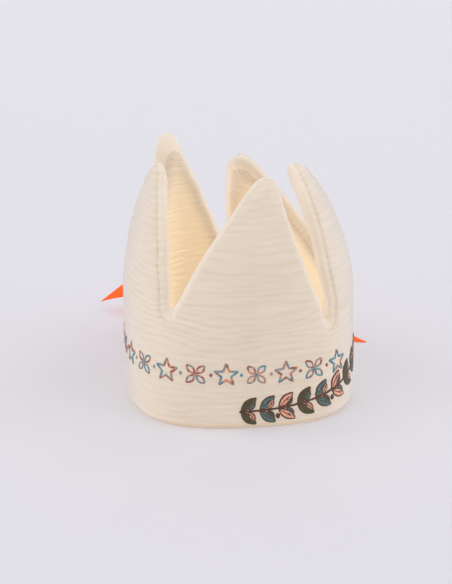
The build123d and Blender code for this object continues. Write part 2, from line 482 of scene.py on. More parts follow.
class OpenEnd:
    """The end of the strip at the open back, upright below the shoulder and slanted to the apex above."""

    def __init__(self, angle, point):
        slope = radians(valley_slope_angle)
        line = radial(angle) * cos(slope) - vertical * sin(slope)
        self.angle = angle
        self.corner = polar(outer_radius, angle, shoulder_height)
        inward = unit(np.cross(line, point.apex - self.corner))
        middle = polar(mid_radius, (point.start + point.end) / 2, shoulder_height)
        self.inward = inward * np.sign(inward @ (middle - self.corner))
        self.side = np.sign(point.apex_angle - angle)

    def facing_in_space(self, side):
        """The direction into the cloth from the slanted end, the same for either side."""
        return self.inward

    def distance(self, places):
        """How far places lie from the end, negative beyond it."""
        slanted = (places - self.corner) @ self.inward
        upright = places @ (tangent(self.angle) * self.side)
        return np.minimum(slanted, upright)


def crown_layout():
    """The five points, each with the notch or open end on its two sides."""
    half_front = front_point_angle / 2
    bounds = [180.0 + half_gap_angle, 180.0 + side_point_angle, 360.0 - half_front]
    bounds += [360.0 + half_front, 360.0 + half_front + side_point_angle, 540.0 - half_gap_angle]
    shapes = (point_lengths, bend_angles, apex_turns, tip_sways, belly_sways, side_trims)
    points = [Point(*row) for row in zip(bounds[:-1], bounds[1:], *shapes)]
    edges = [OpenEnd(bounds[0], points[0])]
    for number, drop in enumerate(valley_drops):
        level = shoulder_height - drop
        edges.append(Valley(bounds[number + 1], level, points[number], points[number + 1]))
    edges.append(OpenEnd(bounds[-1], points[-1]))
    return points, edges


def rounded_tip(left, right, cosine):
    """Distance from the edge of a point whose two sides meet in a rounded tip."""
    a = tip_round_radius - left
    b = tip_round_radius - right
    corner = (b * cosine - a < 0) & (a * cosine - b < 0)
    reach = np.sqrt(np.maximum(a * a + b * b - 2 * a * b * cosine, 0.0) / (1 - cosine * cosine))
    return np.where(corner, tip_round_radius - reach, np.minimum(left, right))


def edge_profile(depth):
    """Share of the wall's full thickness at a depth in from the edge, round like a pad's."""
    share = np.clip(1 - depth / edge_round, 0.0, 1.0)
    return np.sqrt(1 - share * share)


class Face:
    """One side of the padded strip: for each point, a grid of places inside the seam."""

    def __init__(self, points, edges, side, thickness, inset, counts):
        self.side = side
        self.points = points
        self.edges = edges
        self.offset = side * thickness
        self.inset = inset
        self.band_rows, self.point_rows, self.columns = counts
        self.grids = [self.point_grid(number) for number in range(len(points))]

    def depth(self, number, angle, level):
        """Distance of places of one point from its edge."""
        point = self.points[number]
        places = point.place(angle, level, self.offset)
        before, after = self.edges[number:number + 2]
        cosine = before.facing_in_space(1) @ after.facing_in_space(0)
        sides = []
        for side, edge in enumerate((before, after)):
            row = wobble_point_rows * number + wobble_side_rows * side
            wobble = edge_wobble * swing(level / wobble_pitch, row, crinkle_table)
            sides.append(edge.distance(places) - point.belly(level) * (point.trims[side] + wobble))
        return rounded_tip(sides[0], sides[1], cosine)

    def slices(self, number):
        """Levels up one point, with the angles where its seam begins and ends at each."""
        point = self.points[number]
        levels = np.arange(self.inset, point.top_level, slice_step)
        angles = np.linspace(point.start, point.end, slice_samples)
        depth = self.depth(number, angles[None, :], levels[:, None]) - self.inset
        inside = depth >= 0
        kept = np.where(inside.any(axis=1))[0]
        breaks = np.where(np.diff(kept) > 1)[0]
        count = 1 + (kept[breaks[0]] if len(breaks) else kept[-1])
        levels = levels[:count]
        depth = depth[:count]
        inside = inside[:count]
        first = inside.argmax(axis=1)
        final = inside.shape[1] - 1 - inside[:, ::-1].argmax(axis=1)
        begin = self.crossing(angles, depth, first, -1)
        end = self.crossing(angles, depth, final, 1)
        top_angle = (begin[-1] + end[-1]) / 2
        levels = np.append(levels, levels[-1] + depth[-1].max())
        return levels, np.append(begin, top_angle), np.append(end, top_angle)

    def crossing(self, angles, depth, index, step):
        """Angles where the depth passes through zero next to the given samples."""
        rows = np.arange(len(index))
        other = np.clip(index + step, 0, len(angles) - 1)
        here = depth[rows, index]
        there = depth[rows, other]
        share = np.where(other == index, 0.0, here / np.maximum(here - there, tiny))
        return angles[index] + (angles[other] - angles[index]) * np.clip(share, 0.0, 1.0)

    def point_grid(self, number):
        """Angles and levels of a grid over one point, its rows running from side to side."""
        levels, begin, end = self.slices(number)
        rise = np.linspace(0.0, 1.0, self.point_rows + 1)[1:]
        rise = rise - row_ease_share * np.sin(2 * pi * rise) / (2 * pi)
        ends = []
        for edge, angle in ((self.edges[number], begin), (self.edges[number + 1], end)):
            if isinstance(edge, Valley):
                bottom = levels[np.where(np.abs(angle - edge.angle) > angle_tolerance)[0][0] - 1]
            else:
                bottom = shoulder_height - valley_drops[0]
            below = np.linspace(self.inset, bottom, self.band_rows + 1)
            level = np.concatenate((below, bottom + (levels[-1] - bottom) * rise))
            ends.append((np.interp(level, levels, angle), level))
        share = np.linspace(0.0, 1.0, self.columns + 1)
        share = even_column_share * share + (1 - even_column_share) / 2 * (1 - np.cos(pi * share))
        return [first[:, None] * (1 - share) + last[:, None] * share for first, last in zip(*ends)]


def cloth_relief(angle, level, side):
    """Heights of the crinkles and of the soft lumps of the filling."""
    along = radians(1.0) * angle * mid_radius + face_shift * side
    up = level + level_shift
    warp = 0.0
    for (share, length, height), table in zip(crinkle_warps, (crinkle_table, crinkle_table.T)):
        warp = warp + share * smooth_noise(along / length, up / height, table)
    ridge = np.abs(np.sin(pi * (up / crinkle_pitch + warp))) ** ridge_power - ridge_level_share
    patches = smooth_noise(along / patch_length, up / patch_height, lump_table)
    strength = patch_low_share + patch_gain_share * patches
    fine = swing(along / fine_length, 2 * up / fine_pitch, lump_table.T)
    lumps = swing(along / lump_pitch, up / lump_pitch, lump_table)
    return crinkle_height * strength * ridge + fine_height * fine, lump_height * lumps


def new_piece(name, places, faces, uvs=None, values=None):
    """A smooth mesh object on the crown from places in millimetres."""
    mesh = bpy.data.meshes.new(name)
    mesh.from_pydata((np.asarray(places) * metres_per_mm).tolist(), [], faces)
    mesh.polygons.foreach_set("use_smooth", np.ones(len(mesh.polygons), dtype=bool))
    if uvs is not None:
        corners = np.empty(len(mesh.loops), dtype=np.int64)
        mesh.loops.foreach_get("vertex_index", corners)
        layer = mesh.uv_layers.new(name="cloth")
        layer.data.foreach_set("uv", np.asarray(uvs, dtype=np.float32)[corners].ravel())
    for label, numbers in (values or {}).items():
        layer = mesh.attributes.new(label, "FLOAT", "POINT")
        layer.data.foreach_set("value", np.asarray(numbers, dtype=np.float32))
    mesh.validate()
    piece = bpy.data.objects.new(name, mesh)
    bpy.context.scene.collection.objects.link(piece)
    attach(piece, "root")
    return piece


def quads(numbers):
    """The four corners of each cell in grids of index numbers."""
    low = numbers[..., :-1, :]
    high = numbers[..., 1:, :]
    corners = (low[..., :-1], low[..., 1:], high[..., 1:], high[..., :-1])
    return np.stack(corners, axis=-1).reshape(-1, 4)


class Weld:
    """Collects grids into one list of places, sharing those that coincide.

    Each place has four values: length along the ring, level, tone with painted shade and highlight, and
    warmth that is painted warm bounce light and shade.
    """

    def __init__(self):
        self.places = []
        self.rows = []
        self.faces = []
        self.found = {}

    def index(self, place, data):
        """The number of a place, which is added if it is new."""
        key = tuple(np.round(place, weld_digits))
        if key not in self.found:
            self.found[key] = len(self.places)
            self.places.append(place)
            self.rows.append(data)
        return self.found[key]

    def grid(self, places, data):
        """Adds a grid of places with their values."""
        cells = zip(places.reshape(-1, 3), data.reshape(-1, data.shape[-1]))
        numbers = np.array([self.index(*cell) for cell in cells]).reshape(places.shape[:2])
        for corner in quads(numbers).tolist():
            face = [a for a, b in zip(corner, corner[1:] + corner[:1]) if a != b]
            if len(set(face)) > 2:
                self.faces.append(face)


def boundary(face):
    """The seam as one closed loop of (point, row, column), from the back round the points and the foot."""
    loop = []
    count = len(face.grids)
    top = face.band_rows + face.point_rows
    for number in range(count):
        low = 0 if number == 0 else face.band_rows
        loop += [(number, row, 0) for row in range(low, top)]
        low = 0 if number == count - 1 else face.band_rows
        loop += [(number, row, face.columns) for row in range(top, low, -1)]
    for number in reversed(range(count)):
        loop += [(number, 0, column) for column in range(face.columns, 0, -1)]
    return loop


def grid_values(grids, loop, part):
    """Values along the seam, read from one part of each grid."""
    return np.array([grids[number][part][row, column] for number, row, column in loop])


def seam_places(face, loop):
    """Places along the seam of a face, directions in which the cloth leaves it, and outward normals."""
    angle, level = [grid_values(face.grids, loop, part) for part in (0, 1)]
    owner = np.array([number for number, row, column in loop])
    places = np.empty((len(loop), 3))
    normals = np.empty((len(loop), 3))
    for number, point in enumerate(face.points):
        mine = owner == number
        places[mine] = point.place(angle[mine], level[mine], face.offset)
        normals[mine] = point.normal(angle[mine], level[mine])
    ahead = unit(np.roll(places, -1, axis=0) - np.roll(places, 1, axis=0))
    outward = np.cross(normals, ahead)
    for _ in range(seam_smoothing_passes):
        outward = unit(outward + (np.roll(outward, 1, axis=0) + np.roll(outward, -1, axis=0)) / 2)
    share = 1 - seam_inset / edge_round
    slope = abs(face.offset) * share / (edge_round * np.sqrt(1 - share * share))
    leaving = unit(outward - normals * (face.side * slope))
    return places, leaving, normals


def shaped_face(face, seam, run):
    """Finished places of a face's grids, with fullness, crinkles, seam groove and puckers, and their data."""
    tree = kdtree.KDTree(len(seam))
    for number, place in enumerate(seam):
        tree.insert(place, number)
    tree.balance()
    shaped = []
    for point, (angle, level) in zip(face.points, face.grids):
        flat = point.place(angle, level, face.offset)
        normal = point.normal(angle, level) * face.side
        found = [tree.find(place) for place in flat.reshape(-1, 3)]
        depth = np.array([hit[2] for hit in found]).reshape(angle.shape)
        along = run[np.array([hit[1] for hit in found])].reshape(angle.shape)
        crinkles, lumps = cloth_relief(angle, level, face.side)
        full = edge_profile(depth + seam_inset)
        lift = abs(face.offset) * (full - 1) + lumps * full + crinkles
        lift = lift + pucker_height * np.sin(2 * pi * along / pucker_pitch) * np.exp(-depth / pucker_reach)
        crease = np.exp(-(depth / groove_width) ** 2) * (face.side > 0)
        lift = lift - groove_depth * crease
        below_top = point.top_level - level
        plump = tip_plump * np.exp(-(below_top / tip_plump_reach) ** 2)
        lift = lift + plump * smooth_step(depth / edge_round)
        places = settle(flat + normal * lift[..., None] + point.sway(level))
        # Painted warm bounce light on the lining, growing in from the edge and down from the tip
        inside = smooth_step(depth / painted_bounce_reach) * smooth_step(below_top / painted_bounce_fall) * (face.side < 0)
        # Painted highlight on the crinkles' ridges, and painted shade in their creases and in the seam groove
        tone = crinkles * (1.0 if face.side > 0 else lining_tone_share) - groove_painted_shade_share * crease
        data = np.stack((np.radians(angle) * mid_radius, level, tone, inside), axis=-1)
        shaped.append((places, data))
    return shaped


def rolled_edge(shaped, seams, loop, bulge):
    """Places and data of the round edge that runs from the inner seam over to the outer seam.

    Both ends pull outward along the cloth, so that the middle of the roll stands out by the bulge.
    """
    far, near = [grid_values(side, loop, 0) for side in shaped]
    far_data, near_data = [grid_values(side, loop, 1) for side in shaped]
    foot = np.array([row == 0 for number, row, column in loop])
    places = []
    data = []
    for step in range(rim_steps + 1):
        t = step / rim_steps
        over = smooth_step(t)
        pull = seams[1][1] * (t * (1 - t) ** 2) + seams[0][1] * (t * t * (1 - t))
        places.append(near * (1 - over) + far * over + pull * (4 * bulge))
        mixed = near_data * (1 - t) + far_data * t
        # Painted highlight along the roll, and painted warm shade where it turns under the foot
        mixed[:, 2] = np.where(foot, foot_painted_shade_tone, roll_painted_highlight_tone)
        mixed[:, 3] = np.maximum(mixed[:, 3], foot * foot_painted_warm_shade_share)
        data.append(mixed)
    places = np.stack(places)
    places[..., 2] = np.maximum(places[..., 2], floor_gap)
    return [np.concatenate((grid, grid[:, :1]), axis=1)[:, ::-1] for grid in (places, np.stack(data))]


def seam_stitches(weld, places, normals, data):
    """Short stitches of sewing thread that lie end to end along the seam, added to the outer panel."""
    closed = [np.concatenate((values, values[:1])) for values in (places, normals, data)]
    run = run_along(closed[0])
    arch = np.array(stitch_arch_shares)[:, None]
    for middle in np.arange(stitch_pitch / 2, run[-1], stitch_pitch):
        spots = middle + np.array(stitch_along_shares) * stitch_length
        path, facing, shade = [values_at(spots, run, values) for values in closed]
        ahead = unit(path[-1] - path[0])
        facing = unit(facing)
        beside = unit(np.cross(facing, ahead))
        grid = []
        for across, height in stitch_section_shares:
            grid.append(path + beside * (across * stitch_width) + facing * (height * arch * stitch_width))
        values = np.repeat(shade[:, None], len(grid), axis=1)
        values[..., 2] = stitch_tone
        weld.grid(np.stack(grid, axis=1), values)


def pad_faces(points, edges, offsets, inset, counts):
    """The outer and the inner face of a pad, the loop of its seam, and the seam on each face."""
    faces = [Face(points, edges, side, offset, inset, counts) for side, offset in zip((1, -1), offsets)]
    loop = boundary(faces[0])
    return faces, loop, [seam_places(face, loop) for face in faces]


def build_fleece(points, edges):
    """The filling: a smooth closed pad that stays inside the two panels."""
    offsets = (fleece_half_thickness, fleece_half_thickness)
    faces, loop, seams = pad_faces(points, edges, offsets, fleece_inset, fleece_counts)
    shaped = []
    for face in faces:
        grids = []
        for point, (angle, level) in zip(points, face.grids):
            places = settle(point.place(angle, level, face.offset) + point.sway(level))
            grids.append((places, np.zeros((*angle.shape, 4))))
        shaped.append(grids)
    pad = Weld()
    for places, data in shaped[0]:
        pad.grid(places, data)
    for places, data in shaped[1]:
        pad.grid(places[:, ::-1], data[:, ::-1])
    pad.grid(*rolled_edge(shaped, seams, loop, fleece_bulge))
    return new_piece("fleece_pad", np.array(pad.places), pad.faces)


def build_cloth(points, edges):
    """The outer panel inside the seam, and the lining with the roll that meets it."""
    faces, loop, seams = pad_faces(points, edges, (outer_offset, inner_offset), seam_inset, cloth_counts)
    run = run_along(seams[0][0])
    shaped = [shaped_face(face, seam[0], run) for face, seam in zip(faces, seams)]
    panel = Weld()
    for places, data in shaped[0]:
        panel.grid(places, data)
    lining = Weld()
    for places, data in shaped[1]:
        lining.grid(places[:, ::-1], data[:, ::-1])
    lining.grid(*rolled_edge(shaped, seams, loop, roll_bulge))
    seam_stitches(panel, grid_values(shaped[0], loop, 0), seams[0][2], grid_values(shaped[0], loop, 1))
    pieces = []
    for name, weld in (("outer_muslin_panel", panel), ("lining_muslin_panel", lining)):
        data = np.array(weld.rows)
        # Tone holds painted shade and highlight; inside holds painted warm bounce light and painted warm
        # shade under the foot
        values = {"tone": data[:, 2], "inside": data[:, 3]}
        uvs = data[:, :2] * metres_per_mm
        pieces.append(new_piece(name, np.array(weld.places), weld.faces, uvs, values))
    return pieces


class Stitches:
    """Collects raised strands of thread that lie on the outer panel's band.

    Flat places are the length along the ring from the front and the height up the band.
    """

    def __init__(self):
        self.starts = []
        self.ends = []
        self.tones = []
        self.random = np.random.default_rng(thread_seed)

    def add(self, starts, ends, tones=None):
        """Strands from each start to each end, with a tone each."""
        self.starts.append(starts)
        self.ends.append(ends)
        self.tones.append(self.random.random(len(starts)) if tones is None else tones)

    def uneven(self, shape, share):
        """Random factors round one that differ by a share in all."""
        return 1 + share * (self.random.random(shape) - 0.5)

    def line(self, path, width, tones=None):
        """Satin stitch across a path: short strands side by side along it."""
        run = run_along(path)
        spots = np.arange(strand_pitch / 2, run[-1], strand_pitch)
        middle = values_at(spots, run, path)
        ahead = unit(np.gradient(middle, axis=0))
        uneven = self.uneven((len(spots), 1), line_uneven_share)
        reach = left_of(ahead) * (width / 2) * uneven + ahead * strand_slant
        self.add(middle - reach, middle + reach, tones(spots) if tones else None)

    def leaf(self, base, turn, length, width):
        """An almond filled with strands that slant from its middle to its edge."""
        forward = heading(turn)
        share = np.arange(*leaf_fill_shares, strand_pitch / length)
        lean = np.minimum(share + leaf_lean_share, leaf_reach_share)
        half = width / 2 * np.sin(pi * lean) ** almond_power
        inner = base + forward * (share * length)[:, None]
        for side in (1, -1):
            aside = side * half * self.uneven(len(share), leaf_uneven_share)
            outer = base + forward * (lean * length)[:, None] + left_of(forward) * aside[:, None]
            self.add(inner, outer)

    def disc(self, middle, radius, tones=None):
        """A round dot filled with level strands."""
        rise = np.arange(-radius + strand_pitch / 2, radius, strand_pitch)
        half = np.sqrt(radius * radius - rise * rise)
        starts = middle + np.stack((-half, rise), axis=-1)
        ends = middle + np.stack((half, rise), axis=-1)
        self.add(starts, ends, tones(rise) if tones else None)

    def piece(self, name):
        """One mesh of all the strands, each a low arch that dips into the cloth at both ends."""
        starts = np.concatenate(self.starts)[:, None, None]
        ends = np.concatenate(self.ends)[:, None, None]
        tones = np.concatenate(self.tones)
        share = np.array(strand_along_shares)[None, :, None, None]
        arch = np.array(strand_arch_shares)[None, :, None]
        sideways = np.array(strand_across_shares)[None, None, :, None]
        round_top = np.array(strand_top_shares)[None, None, :]
        spine = starts * (1 - share) + ends * share
        flat = spine + left_of(unit(ends - starts)) * (sideways * strand_width)
        ground = band_height(spine[..., 0, 0], spine[..., 0, 1])
        chord = ground[:, :1] * (1 - share[..., 0, 0]) + ground[:, -1:] * share[..., 0, 0]
        lift = np.maximum(ground, chord)[..., None] + strand_height * np.minimum(arch, round_top * arch)
        lift = lift + strand_lift * (tones[:, None, None] - 0.5)
        places = settle(polar(mid_radius + lift, degrees_round(flat[..., 0]), flat[..., 1]))
        size = places.shape[:3]
        faces = quads(np.arange(np.prod(size)).reshape(size))[:, ::-1]
        length = np.linalg.norm(ends - starts, axis=-1, keepdims=True) * share
        length = np.broadcast_to(length[..., 0], size)
        across = np.broadcast_to(sideways[..., 0] * strand_width, size)
        uvs = np.stack((length, across), axis=-1).reshape(-1, 2) * metres_per_mm
        shades = np.broadcast_to(tones[:, None, None], size).ravel()
        return new_piece(name, places.reshape(-1, 3), faces.tolist(), uvs, {"tone": shades})


def degrees_round(along):
    """The angle of a length along the band from the front."""
    return 360.0 + np.degrees(along / outer_radius)


def band_height(along, height):
    """How far the outer panel's cloth lies from the middle of the wall, on the band."""
    crinkles, lumps = cloth_relief(degrees_round(along), height, 1)
    full = edge_profile(height)
    return outer_offset * full + lumps * full + crinkles


def almond(base, turn, length, width):
    """The closed outline of a leaf or petal."""
    forward = heading(turn)
    share = np.linspace(0.0, 1.0, almond_steps)
    aside = left_of(forward) * (width / 2 * np.sin(pi * share) ** almond_power)[:, None]
    middle = base + forward * (share * length)[:, None]
    return np.concatenate((middle + aside, (middle - aside)[::-1]))


def variegated(start):
    """Tones that drift along a thread from a starting length, as in thread dyed in stretches."""
    def tones(run):
        drift = smooth_noise((run + start) / dye_length, np.zeros_like(run), lump_table)
        return np.clip(0.5 + dye_contrast * (drift - 0.5), 0.0, 1.0)
    return tones


def sprig_spot(share):
    """Flat place and direction of the sprig's stem at a share of its length."""
    run = radians(sprig_end_angle - sprig_start_angle) * outer_radius
    along = radians(sprig_start_angle) * outer_radius + share * run
    spot = np.array((along, sprig_low_height + sprig_rise * share ** 2))
    return spot, np.arctan2(2 * sprig_rise * share, run)


def build_sprig():
    """The sprig's stem, outlines and berries in brown, and its leaves in three colours."""
    colours = ("green", "teal", "pink")
    threads = {name: Stitches() for name in ("brown", *colours)}
    brown = threads["brown"]
    stem = np.array([sprig_spot(share)[0] for share in np.linspace(0.0, 1.0, stem_steps)])
    brown.line(stem, stem_width)
    for number in range(sprig_leaf_count):
        spot, slope = sprig_spot(number / sprig_leaf_count)
        between, _ = sprig_spot((number + 0.5) / sprig_leaf_count)
        colour = colours[number % len(colours)]
        for side in (1, -1):
            turn = slope + side * radians(leaf_spread_angle)
            base = spot + leaf_gap * heading(turn)
            threads[colour].leaf(base, turn, leaf_length, leaf_width)
            brown.line(almond(base, turn, leaf_length, leaf_width), outline_width)
            tip = base + leaf_vein_share * leaf_length * heading(turn)
            brown.line(np.linspace(spot, tip, vein_steps), outline_width / 2)
            lean = slope + side * radians(leaflet_spread_angle)
            foot = between + leaflet_gap * heading(lean)
            leaflet_colour = colours[(number + side) % len(colours)]
            threads[leaflet_colour].leaf(foot, lean, leaflet_length, leaflet_width)
            brown.line(almond(foot, lean, leaflet_length, leaflet_width), outline_width)
        if colour == "pink":
            below = spot - leaf_width * left_of(heading(slope))
            brown.disc(below, berry_radius)
    return threads


def build_border():
    """A row of outlined stars and four-petalled flowers with dots between them."""
    thread = Stitches()
    first = radians(border_start_angle) * outer_radius
    count = int((radians(border_end_angle) * outer_radius - first) / border_pitch)
    corners = np.arange(2 * star_spikes + 1)
    turns = np.radians(90 + 180 / star_spikes * corners)
    reach = np.where(corners % 2 == 0, star_radius, star_radius * star_waist_share)
    star = np.stack((reach * np.cos(turns), reach * np.sin(turns)), axis=-1)
    for number in range(count + 1):
        middle = np.array((first + number * border_pitch, border_height))
        start = star_dye_shift * number
        if number % 2 == 0:
            thread.line(middle + star, motif_line_width, variegated(start))
        else:
            for quarter in range(4):
                turn = radians(45 + 90 * quarter)
                outline = almond(middle + dot_radius * heading(turn), turn, petal_length, petal_width)
                width = motif_line_width * petal_line_share
                thread.line(outline, width, variegated(start + petal_dye_shift * quarter))
            thread.disc(middle, dot_radius, variegated(middle_dye_shift * number))
        if number < count:
            between = middle + np.array((border_pitch / 2, 0.0))
            thread.disc(between, dot_radius, variegated(dot_dye_shift * number))
    return thread


class Bands:
    """Collects stretches of ribbon into one mesh, each a closed band one thickness thick."""

    def __init__(self):
        self.places = []
        self.faces = []
        self.uvs = []
        self.count = 0

    def add(self, grid):
        """A band round a grid of its middle, its rows running along the ribbon."""
        ahead = unit(np.gradient(grid, axis=0))
        across = unit(np.gradient(grid, axis=1))
        half = unit(np.cross(ahead, across)) * ribbon_thickness / 2
        rows, columns = grid.shape[:2]
        shift = rows * columns
        run = run_along(grid[:, columns // 2])
        side = np.linspace(0.0, ribbon_width, columns)
        uv = np.stack(np.meshgrid(run, side, indexing="ij"), axis=-1).reshape(-1, 2)
        upper = np.arange(shift).reshape(rows, columns) + self.count
        faces = np.roll(quads(upper)[:, ::-1], 1, axis=1)
        self.faces += faces.tolist() + (faces + shift)[:, ::-1].tolist()
        for edge in (upper[0, :], upper[:, -1], upper[-1, ::-1], upper[::-1, 0]):
            for a, b in zip(edge[:-1].tolist(), edge[1:].tolist()):
                self.faces.append([a, b, b + shift, a + shift])
        self.places += [(grid + half).reshape(-1, 3), (grid - half).reshape(-1, 3)]
        self.uvs += [uv, uv]
        self.count += 2 * shift

    def piece(self, name):
        """The finished mesh object."""
        uvs = np.concatenate(self.uvs) * metres_per_mm
        return new_piece(name, np.concatenate(self.places), self.faces, uvs)


def ribbon_shares(rows):
    """Shares along a stretch of ribbon from 0 to 1, and across it from -0.5 to 0.5."""
    return np.linspace(0.0, 1.0, rows)[:, None], np.linspace(-0.5, 0.5, ribbon_columns)[None, :]


def pleats(share, reach, across):
    """Height of the pleats that gather a ribbon at the knot."""
    fade = 1 - smooth_step(share / reach)
    return pleat_height * fade * np.cos(2 * pi * pleat_count * across)


def lead_grid(side):
    """The stretch of ribbon from the end seam, out through the back gap, to the knot."""
    share, across = ribbon_shares(lead_rows)
    width = ribbon_width * (1 - lead_gather_share * smooth_step(share))
    x = side * (lead_inset + lead_spread * (1 - share) ** lead_spread_power)
    x = x + low_pleat_share * pleats(1 - share, lead_pleat_reach_share, across) * side
    y = mid_radius + share * (knot_place - mid_radius)
    return stacked(x, y, ribbon_centre_height + across * width)


def loop_grid(side):
    """The loop of the bow, gathered at the knot and drooping a little."""
    share, across = ribbon_shares(loop_rows)
    near = np.minimum(share, 1 - share)
    reach = np.sin(pi * share)
    full = loop_gather_share + (1 - loop_gather_share) * smooth_step(near / loop_gather_reach_share)
    x = side * bow_loop_length * reach ** loop_round_power
    flare = 1 + loop_flare_share * across
    y = knot_place - bow_loop_opening / 2 * np.sin(2 * pi * share) * flare
    y = y + pleats(near, loop_pleat_reach_share, across) * np.sign(0.5 - share) - loop_twist * across * reach
    z = ribbon_centre_height + across * (ribbon_width * full) - loop_droop * reach ** 2
    return stacked(x, y, z)


def tail_grid(side, tail):
    """The tail that leaves the knot upright, turns over and droops, with its end cut on a slant."""
    length, direction, tip_lift, tip_roll, fall_shares = tail
    degree = len(tail_length_shares) - 1
    shares = (fall_shares, tail_upright_shares, tail_width_shares)
    curves = [np.polyfit(tail_length_shares, row, degree) for row in shares]
    share, across = ribbon_shares(tail_rows)
    reach = share * (length - (across * side + 0.5) * tail_cut_length) / length
    drop, upright, width = [np.polyval(curve, reach) for curve in curves]
    fall = ribbon_centre_height - tip_lift - ribbon_width / 2 * sin(radians(tip_roll))
    away = radial(direction)
    height = ribbon_centre_height - drop * fall
    middle = away * (reach * length)[..., None] + vertical * height[..., None]
    middle = middle + np.array((0.0, knot_place, 0.0))
    slope = np.polyval(np.polyder(curves[0]), reach) * -fall / length
    ahead = unit(away + vertical * slope[..., None])
    over = np.cross(ahead, tangent(direction))
    over = unit(over * np.sign(over[..., 2:]))
    roll = np.radians(tip_roll + np.clip(upright, 0.0, 1.0) * (90 - tip_roll))[..., None]
    sideways = tangent(direction) * np.cos(roll) + over * (side * np.sin(roll))
    facing = np.cross(ahead, sideways)
    wave = tail_wave_height * np.sin(2 * pi * tail_wave_count * reach) * reach * (tail_wave_end_share - reach)
    wave = wave + low_pleat_share * pleats(reach, tail_pleat_reach_share, across)
    span = across * ribbon_width * np.minimum(width, 1.0)
    return middle + sideways * span[..., None] + facing * wave[..., None]


def blunt(value):
    """A sine or cosine that keeps its sign and stays longer near its ends, for a squarish round."""
    return np.sign(value) * np.abs(value) ** knot_corner_power


def knot_grid(side):
    """One side of the knot: ribbon wound round the middle of the bow, rounded at its end."""
    turn = np.linspace(0.0, 2 * pi, knot_rows)[:, None] - pi / 2
    across = np.linspace(0.0, 1.0, knot_columns)[None, :]
    waist = knot_waist_share * np.exp(-(across / knot_waist_reach_share) ** 2)
    size = 1 - knot_end_share * across ** knot_end_power - waist
    fold = 1 + knot_fold_share * np.sin(2 * pi * knot_fold_count * across + knot_fold_twist * np.cos(turn))
    x = side * (knot_gap + across * knot_half_width)
    y = knot_place + knot_half_depth * blunt(np.cos(turn)) * size * fold
    z = ribbon_centre_height + knot_half_height * blunt(np.sin(turn)) * size * fold
    return stacked(x, y, z)


def build_ribbon(name, side, tail):
    """One tie ribbon with its lead, loop, tail and half of the knot."""
    bands = Bands()
    for grid in (lead_grid(side), loop_grid(side), tail_grid(side, tail), knot_grid(side)):
        bands.add(grid)
    return bands.piece(name)


def linear(red, green, blue):
    """A colour given as screen values from 0 to 255, as the linear values that shaders take."""
    values = []
    for level in (red, green, blue):
        share = level / 255.0
        values.append(share / 12.92 if share <= 0.04045 else ((share + 0.055) / 1.055) ** 2.4)
    return (*values, 1.0)


def set_inputs(tree, node, inputs):
    """Sets a node's inputs by name or number: links an output of another node, or sets a value."""
    for name, value in inputs.items():
        if isinstance(value, bpy.types.NodeSocket):
            tree.links.new(value, node.inputs[name])
        else:
            node.inputs[name].default_value = value


def add_node(tree, kind, output, inputs, **settings):
    """The named output of a new node with its settings and inputs."""
    node = tree.nodes.new("ShaderNode" + kind)
    for name, value in settings.items():
        setattr(node, name, value)
    set_inputs(tree, node, inputs)
    return node.outputs[output]


def material(name, looks):
    """A new node material, with the tree of its nodes and its shader, whose looks are set."""
    made = bpy.data.materials.new(name)
    made.use_nodes = True
    shader = made.node_tree.nodes["Principled BSDF"]
    set_inputs(made.node_tree, shader, looks)
    return made, made.node_tree, shader


def attribute(tree, name):
    """The values that a mesh keeps under a name."""
    return add_node(tree, "Attribute", "Fac", {}, attribute_name=name)


def cloth_uv(tree):
    """Places on the cloth, in metres along and across its threads."""
    return add_node(tree, "UVMap", "UV", {}, uv_map="cloth")


def blend(tree, share, low, high):
    """A colour between two."""
    return add_node(tree, "Mix", "Result", {"Factor": share, "A": low, "B": high}, data_type="RGBA")


def ribs(tree, direction, inputs):
    """Waves of threads side by side in one direction."""
    return add_node(tree, "TexWave", "Fac", inputs, wave_type="BANDS", bands_direction=direction)


def relief(tree, height, strength, distance):
    """Normals of a fine relief."""
    inputs = {"Height": height, "Strength": strength, "Distance": distance}
    return add_node(tree, "Bump", "Normal", inputs)


def muslin(name, light, dark, inside):
    """Crinkled cotton gauze: a plain weave with random blotches, painted highlight on its ridges, painted
    shade in its creases and painted warm bounce light deep inside.
    """
    looks = {"Roughness": 0.92, "Specular IOR Level": 0.2}
    looks.update({"Sheen Weight": 1.0, "Sheen Roughness": 0.4, "Sheen Tint": linear(244, 243, 250)})
    ridge_share = 0.75
    blotch_share = 0.35
    made, tree, shader = material(name, looks)
    uv = cloth_uv(tree)
    # Painted highlight and shade from the tone, mixed with random blotches, then painted warm bounce light
    # where inside is set
    tone_range = {"Value": attribute(tree, "tone"), "From Min": -0.33, "From Max": 0.25}
    ridges = add_node(tree, "MapRange", "Result", tone_range)
    blotches = add_node(tree, "TexNoise", "Fac", {"Vector": uv, "Scale": 45.0, "Detail": 3.0})
    faint = add_node(tree, "Math", "Value", {0: blotches, 1: blotch_share}, operation="MULTIPLY")
    parts = {0: ridges, 1: ridge_share, 2: faint}
    mixed = add_node(tree, "Math", "Value", parts, operation="MULTIPLY_ADD")
    warmed = blend(tree, attribute(tree, "inside"), blend(tree, mixed, dark, light), inside)
    wave = {"Vector": uv, "Scale": 560.0, "Distortion": 1.2, "Detail": 1.0, "Detail Scale": 0.4}
    threads = {0: ribs(tree, "X", wave), 1: ribs(tree, "Y", wave)}
    weave = add_node(tree, "Math", "Value", threads, operation="ADD")
    normal = relief(tree, weave, strength=0.35, distance=0.0002)
    set_inputs(tree, shader, {"Base Color": warmed, "Normal": normal})
    return made


